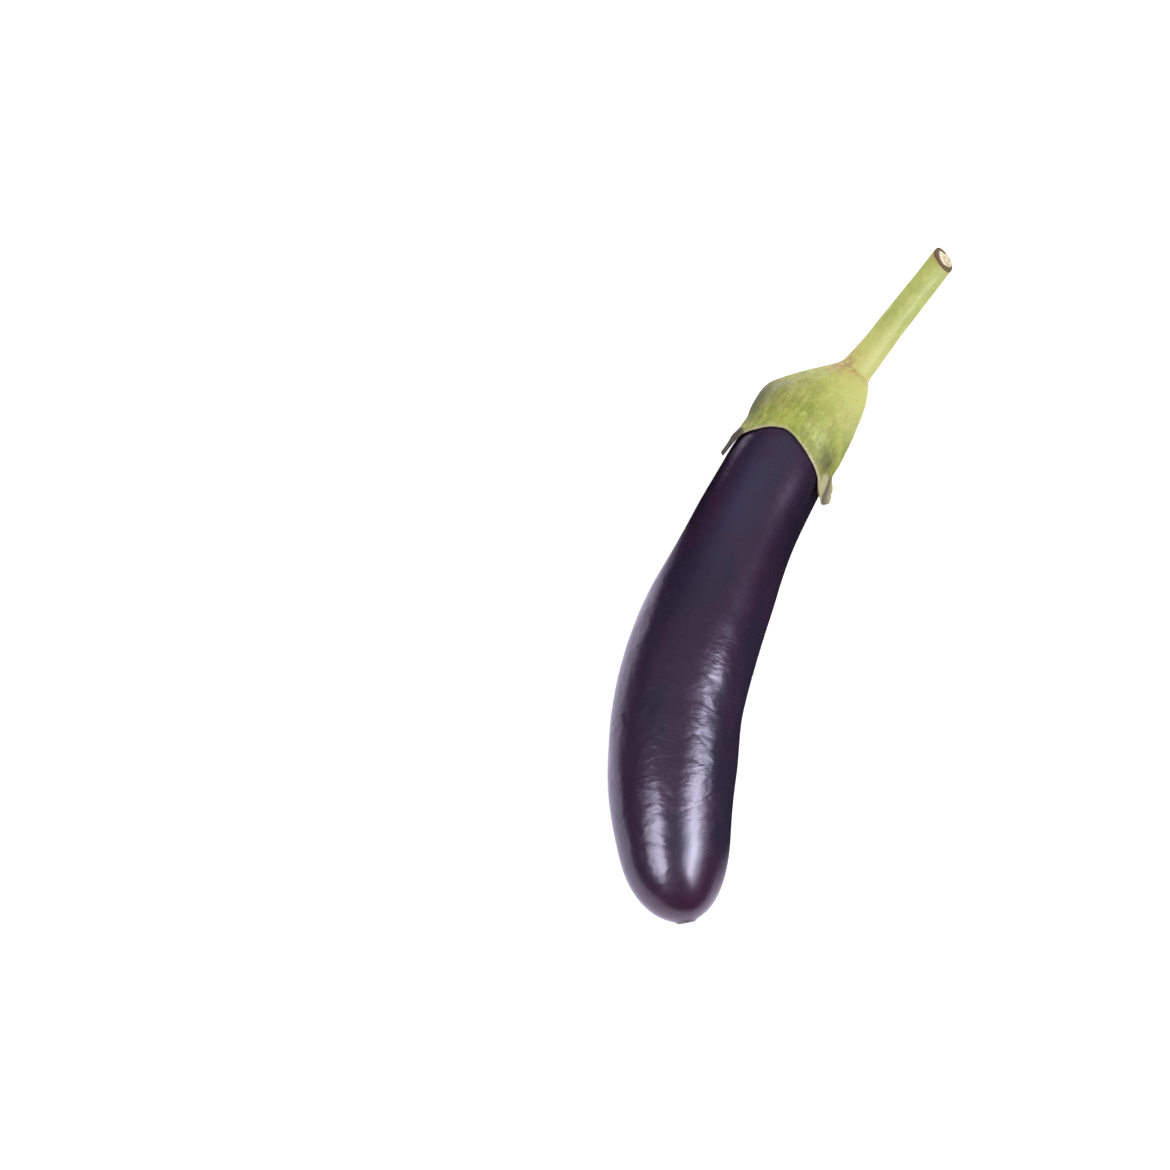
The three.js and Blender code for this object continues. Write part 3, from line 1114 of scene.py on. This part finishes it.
def green_base(finish, straight):
    """The green of both pieces, with the streaks and hairs that their bumps need too."""
    patches = finish.noise(straight, 0.13, detail=3)
    colour = finish.mix(finish.between(patches, 0.36, 0.64), DEEP_GREEN, GREEN)
    streaks = finish.noise(finish.stretch(straight, (0.035, 0.36, 0.36)), 1.0, detail=3, roughness=0.6)
    colour = finish.mix(finish.between(streaks, 0.46, 0.74) * 0.6, colour, PALE_GREEN)
    hairs = finish.noise(finish.stretch(straight, (0.12, 1.5, 1.5)), 1.0, detail=2)
    colour = finish.mix(finish.between(hairs, 0.55, 0.75) * 0.35, colour, DEEP_GREEN)
    clouds = finish.noise(straight, 0.3, detail=4, roughness=0.65)
    colour = finish.mix(finish.between(clouds, 0.46, 0.66) * 0.7, colour, DEEP_GREEN)
    blots = finish.noise(finish.stretch(straight, (0.26, 0.6, 0.6)), 1.0, detail=3, distortion=0.5)
    colour = finish.mix(finish.between(blots, 0.5, 0.34) * 0.55, colour, DEEP_GREEN)
    colour = finish.mix(finish.between(blots, 0.54, 0.7) * 0.5, colour, PALE_GREEN)
    mottling = finish.noise(finish.stretch(straight, (0.6, 1.0, 1.0)), 1.0, detail=2)
    return finish.mix(finish.between(mottling, 0.5, 0.66) * 0.35, colour, YELLOW_GREEN), streaks, hairs


# %% The calyx's colours
# The tips' grey also paints shade along their grooves
MARGIN_PALE, TIP_TAN, TIP_GREY_AND_GROOVE_SHADE = paint(194, 184, 140), paint(186, 178, 124), paint(92, 82, 70)
BRUISE = paint(150, 142, 92)
# Places on the straight piece, in mm: along, to the left and up
BRUISE_AT, DARK_ROOT_AT, RUSTY_AT, SCAR_AT = (188, 12, 13), (173, -14, 11), (194, -13, 7), (209, 5, 4)
# The first is where painted light makes the right side paler near the stem
PAINTED_LIGHT_AT, SHADED_SHOULDER_AT = (199, -8, 8), (182, 18, 4)


def shade_and_bruise(calyx, straight, cloud, colour):
    """Painted light on the right near the stem, yellower at it, two places of painted shade and a bruise.
    """
    # Painted light: the right side near the stem is paler
    colour = calyx.mix(calyx.near(straight, PAINTED_LIGHT_AT, 24) * 0.75, colour, PALE_GREEN)
    top = calyx.between(calyx.part(straight, 0), JOINT - 18, JOINT - 1)
    colour = calyx.mix(top * 0.65, colour, FOOT_YELLOW)
    shaded = calyx.near(straight, DARK_ROOT_AT, 9) * (cloud * 1.2 + 0.3)
    shaded = shaded + calyx.near(straight, SHADED_SHOULDER_AT, 14) * 1.1
    colour = calyx.mix(shaded.clamped(), colour, SHADED_GREEN)
    bruise = calyx.near(straight, BRUISE_AT, 12) * calyx.between(cloud, 0.4, 0.6)
    return calyx.mix(bruise * 0.8, colour, BRUISE)


def lines_and_scar(calyx, straight, cloud, colour):
    """Thin rusty lines along the cap, and the corky ring at the joint."""
    lines = calyx.noise(calyx.stretch(straight, (0.06, 0.35, 0.35)), 1.0, detail=2, distortion=0.6)
    lines = calyx.between(calyx.away_from(lines, 0.5), 0.02, 0.006)
    rusty = calyx.near(straight, RUSTY_AT, 16) * 0.5 + 0.22
    colour = calyx.mix(lines * rusty, colour, RUST)
    scar = calyx.near(straight, SCAR_AT, 11) * calyx.between(cloud, 0.4, 0.55)
    ring = calyx.between(calyx.away_from(calyx.part(straight, 0), JOINT - 1), 1.6, 0.3)
    scar = (scar + ring * calyx.between(cloud, 0.4, 0.6) * 0.5).clamped()
    return calyx.mix(scar * 0.9, colour, SCAR_BROWN)


def margin_and_tips(calyx, dry, streaks, left, colour):
    """The pale margin; dry tips tan on one side, grey on the other, with painted shade in their grooves."""
    margin = calyx.between(calyx.stored("margin"), 1.6, 1.0)
    colour = calyx.mix(margin * 0.75, colour, MARGIN_PALE)
    tan = calyx.mix(calyx.between(streaks + left * 0.012, 0.5, 0.68), TIP_TAN, TIP_GREY_AND_GROOVE_SHADE)
    colour = calyx.mix(dry, colour, tan)
    # Painted shade: the groove down each dried tip is greyer
    return calyx.mix(calyx.stored("groove") * dry * 0.95, colour, TIP_GREY_AND_GROOVE_SHADE)


# %% The calyx's finish
CALYX_WRINKLES = 0.35


def make_calyx_finish():
    calyx = Finish("calyx_green")
    straight = calyx.straight_place()
    green, streaks, hairs = green_base(calyx, straight)
    cloud = calyx.noise(straight, 0.5, detail=4, roughness=0.6)
    dry = calyx.between(calyx.stored("dry") + cloud * 0.5, 0.45, 0.85)
    colour = shade_and_bruise(calyx, straight, cloud, green)
    colour = lines_and_scar(calyx, straight, cloud, colour)
    colour = margin_and_tips(calyx, dry, streaks, calyx.part(straight, 1), colour)
    wrinkles = streaks * (dry * 3.0 + 1.0) + hairs * 0.3 + cloud * (dry * 2.0 + 0.4)
    normal = calyx.bump(wrinkles, CALYX_WRINKLES * MM)
    calyx.set(base_color=colour, roughness=dry * 0.25 + 0.5, normal=normal)
    return calyx.material


# %% The stem's finish
BARK_BROWN, PITH, PITH_SHADE = paint(112, 90, 54), paint(250, 236, 208), paint(206, 188, 146)
# How far from the middle of the pith the bark begins and the green skin begins
BARK_FROM, CUT_TO = 2.7, 7.4
STEM_WRINKLES = 0.3


def make_stem_finish():
    stem = Finish("stem_green")
    straight = stem.straight_place()
    along, left = stem.part(straight, 0), stem.part(straight, 1)
    colour, streaks, hairs = green_base(stem, straight)
    colour = stem.mix(0.5, colour, PALE_GREEN)
    near_cap = stem.between(along, JOINT + 26, JOINT + 6)
    colour = stem.mix(near_cap * 0.7, colour, FOOT_YELLOW)
    cloud = stem.noise(straight, 0.45, detail=4, roughness=0.6)
    scar = stem.between(along, JOINT + 9, JOINT - 1) * stem.between(left, -3, 4)
    colour = stem.mix(scar * stem.between(cloud, 0.4, 0.55) * 0.85, colour, SCAR_BROWN)
    colour = stem.mix(stem.between(along, spine_length - 5, spine_length - 1.5) * 0.6, colour, RUST)
    away = stem.stored("cut") + (cloud - 0.5) * 1.6
    cut = stem.between(away, CUT_TO, CUT_TO - 0.6)
    pith = stem.mix(stem.between(cloud, 0.4, 0.62), PITH, PITH_SHADE)
    wood = stem.mix(stem.between(away, BARK_FROM, BARK_FROM + 0.9), pith, BARK_BROWN)
    colour = stem.mix(cut, colour, wood)
    wrinkles = streaks + hairs * 0.4 + cloud * (cut * 3.0 + 0.3)
    normal = stem.bump(wrinkles, STEM_WRINKLES * MM)
    stem.set(base_color=colour, roughness=cut * 0.3 + 0.6, normal=normal)
    return stem.material


for piece, material in ((fruit, make_skin()), (calyx, make_calyx_finish()), (stem, make_stem_finish())):
    piece.data.materials.append(material)
    print(piece.name, "is finished with", material.name, len(material.node_tree.nodes), "nodes")

# %% Each piece joins the root body, and the solid that it stands for is hidden
for piece, node, slot in ((fruit, "fruit", "skin"), (calyx, "calyx", "calyx"), (stem, "stem", "stem")):
    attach(piece, "root")
    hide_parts(node)
bpy.data.objects.remove(spine)
